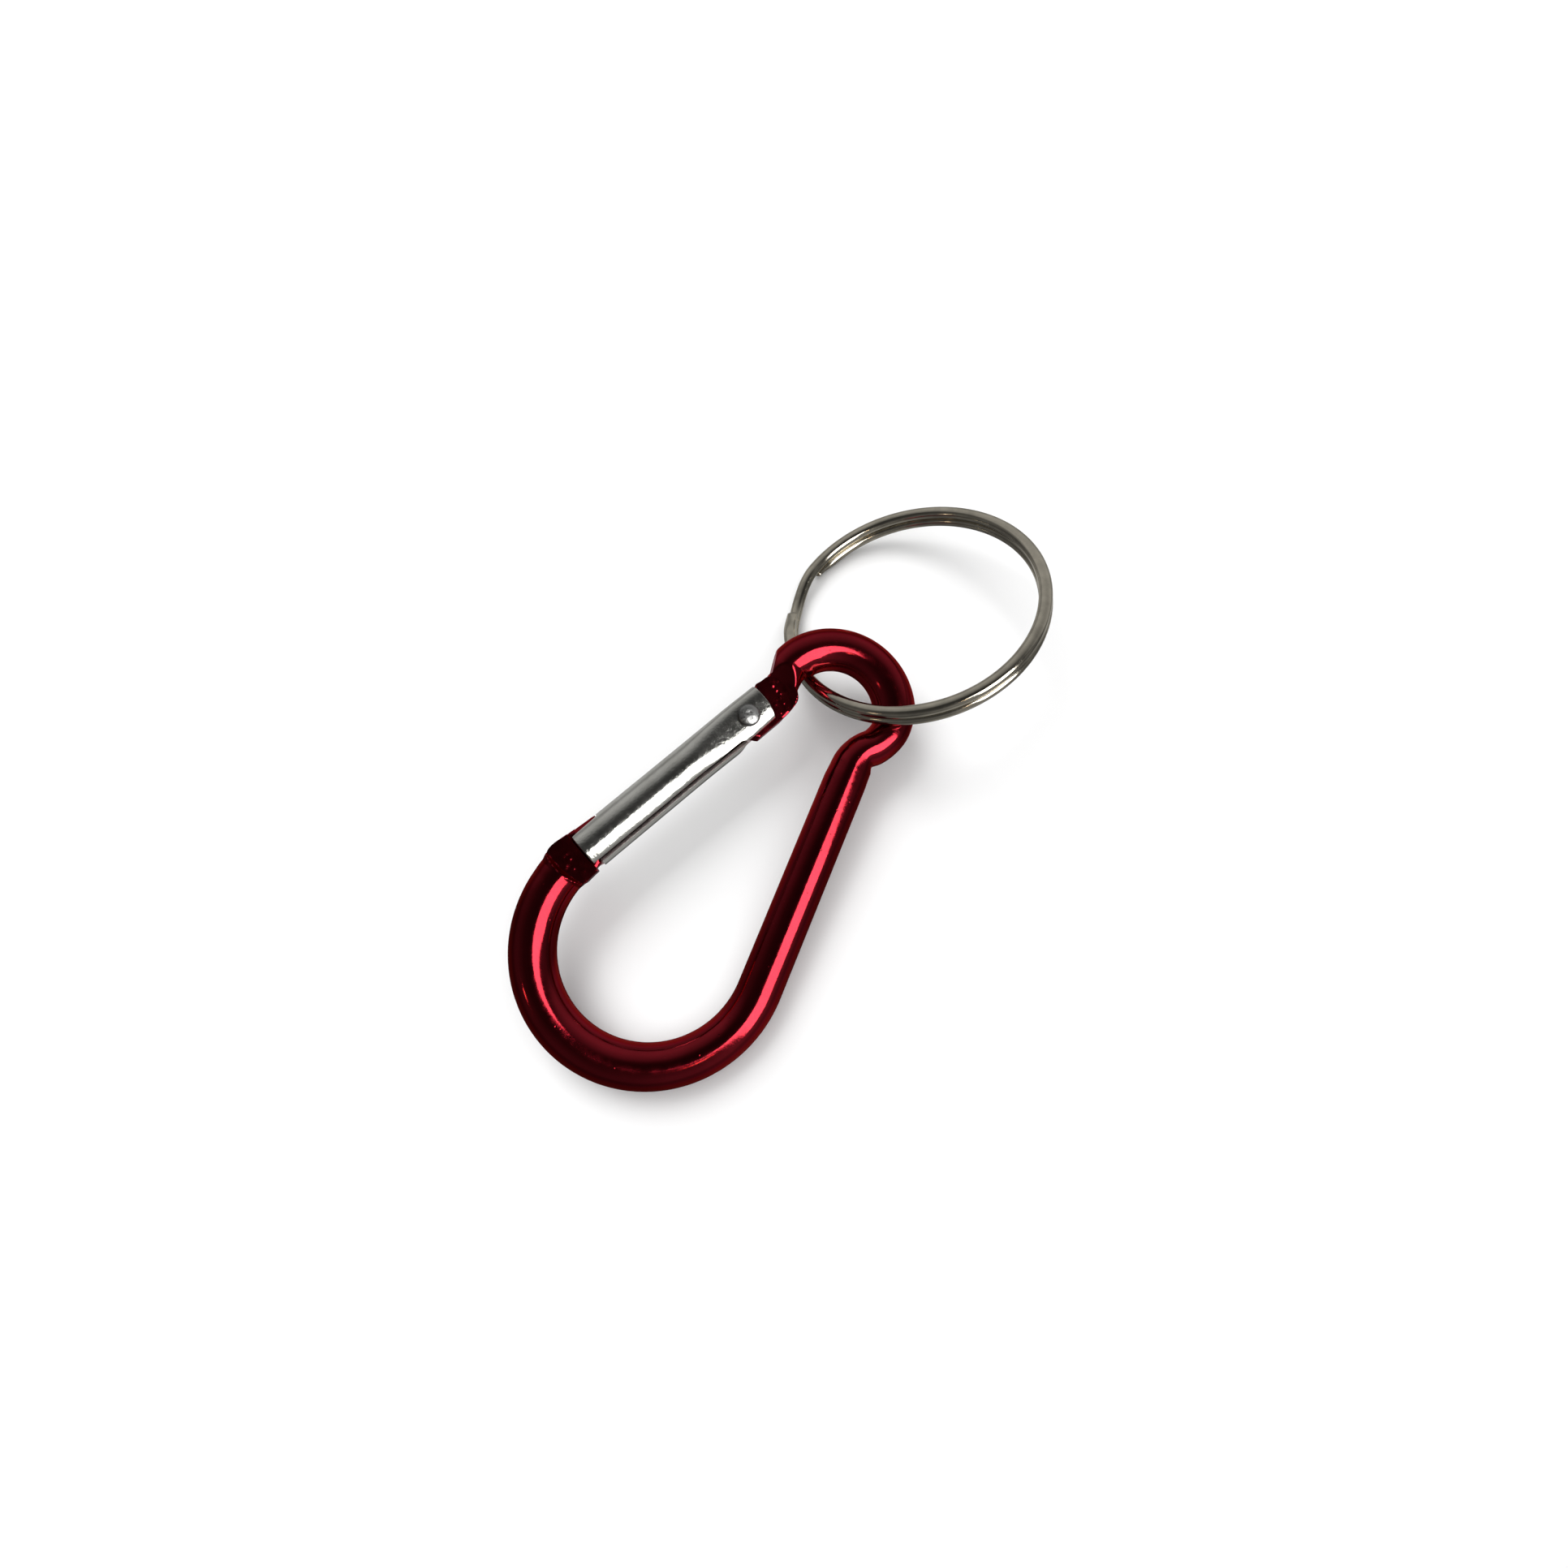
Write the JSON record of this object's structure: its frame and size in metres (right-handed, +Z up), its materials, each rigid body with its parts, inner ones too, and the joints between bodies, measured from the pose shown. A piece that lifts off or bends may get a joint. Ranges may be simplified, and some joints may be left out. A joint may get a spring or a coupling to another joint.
{
  "type": "carabiner keyring",
  "caption": "Small red carabiner bent from one round rod with an eye at its end, a spring-loaded sheet-metal gate and a flat two-turn split ring threaded through the eye.",
  "frame": {"origin": "middle of the bounding box, on the surface the keyring lies on", "axes": "+Y along the carabiner from its big bend towards the split ring, +Z up from the surface, gate on the -X side"},
  "size_m": [0.0242, 0.065, 0.0116],
  "materials": {
    "red_aluminium": "glossy red anodised, polished",
    "bright_steel": "bright rolled sheet, nickel plated",
    "rivet_steel": "dull domed rivet head with small dents",
    "plunger_brass": "turned",
    "spring_steel": "drawn wire",
    "ring_nickel": "nickel plated, polished"
  },
  "bodies": {
    "frame": {"frame": "red_aluminium", "hinge_rivet": "rivet_steel"},
    "gate": {"gate": "bright_steel", "gate_spring": "spring_steel"},
    "plunger": {"gate_plunger": "plunger_brass"},
    "ring": {"split_ring": "ring_nickel"}
  },
  "joints": [
    {"name": "gate_hinge", "type": "hinge", "parent": "frame", "child": "gate", "pos_m": [-0.00575, 0.00062, 0.00642], "axis": [0.1994, -0.0547, 0.9784], "range_deg": [0, 35], "stiffness_Nm_per_rad": 0.012, "springref_deg": -17.19},
    {"name": "plunger_slide", "type": "slide", "parent": "gate", "child": "plunger", "axis": [-0.2004, -0.9796, -0.0139], "range_m": [0, 0.00065], "deforming": ["gate_spring"]},
    {"name": "ring_swing", "type": "hinge", "parent": "frame", "child": "ring", "pos_m": [0.00009, 0.0073, 0.0056], "axis": [0, -0.9984, -0.0558], "range_deg": [0, 108]}
  ],
  "couplings": [
    {"joint": "plunger_slide", "follows": "gate_hinge", "m_per_rad": 0.001}
  ]
}
